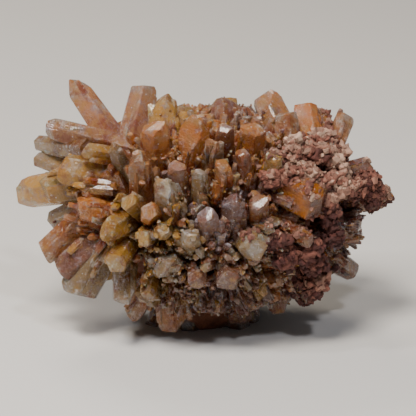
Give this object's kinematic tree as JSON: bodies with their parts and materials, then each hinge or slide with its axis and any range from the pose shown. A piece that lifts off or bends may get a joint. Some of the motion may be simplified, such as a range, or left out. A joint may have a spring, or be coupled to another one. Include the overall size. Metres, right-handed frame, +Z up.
{
  "type": "creedite cluster",
  "caption": "Prickly ball of stout amber creedite crystals grown together, with a rusty crust on one side and a small flat spot to rest on.",
  "frame": {"origin": "middle of the flat spot that the cluster rests on", "axes": "+X along the longest extent, +Z up, near side of the picture towards -Y"},
  "size_m": [0.056, 0.0394, 0.0374],
  "materials": {
    "creedite": "glassy, cloudy amber crystal"
  },
  "bodies": {
    "root": {"creedite_cluster": "creedite"}
  },
  "joints": []
}
